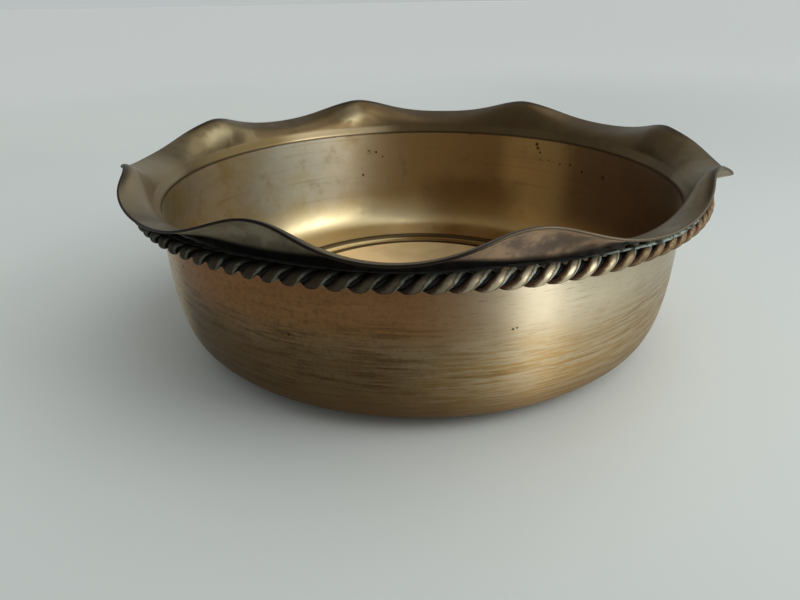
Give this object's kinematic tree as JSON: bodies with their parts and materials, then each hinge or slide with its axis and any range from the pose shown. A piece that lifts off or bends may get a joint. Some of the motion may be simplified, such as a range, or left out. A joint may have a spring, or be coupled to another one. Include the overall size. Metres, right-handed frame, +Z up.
{
  "type": "fluted brass bowl",
  "caption": "Round bowl of thin spun brass with an upright wall, a flared rim pinched into waves, and a ring of twisted wire soldered under the rim.",
  "frame": {"origin": "centre of the foot ring, level with its underside", "axes": "+Z up along the bowl's axis; +X to the right and -Y towards the viewer, as the bowl is seen in its picture"},
  "size_m": [0.2388, 0.239, 0.0771],
  "materials": {
    "aged_brass": "satin, brushed round the bowl, with brown and grey patina",
    "wire_brass": "darkened, with worn crowns and black tarnish between the turns",
    "solder": "dull grey-green tarnished solder"
  },
  "bodies": {
    "root": {"bowl_body": "aged_brass", "rope_strand_1": "wire_brass", "rope_strand_2": "wire_brass", "rope_solder": "solder"}
  },
  "joints": []
}
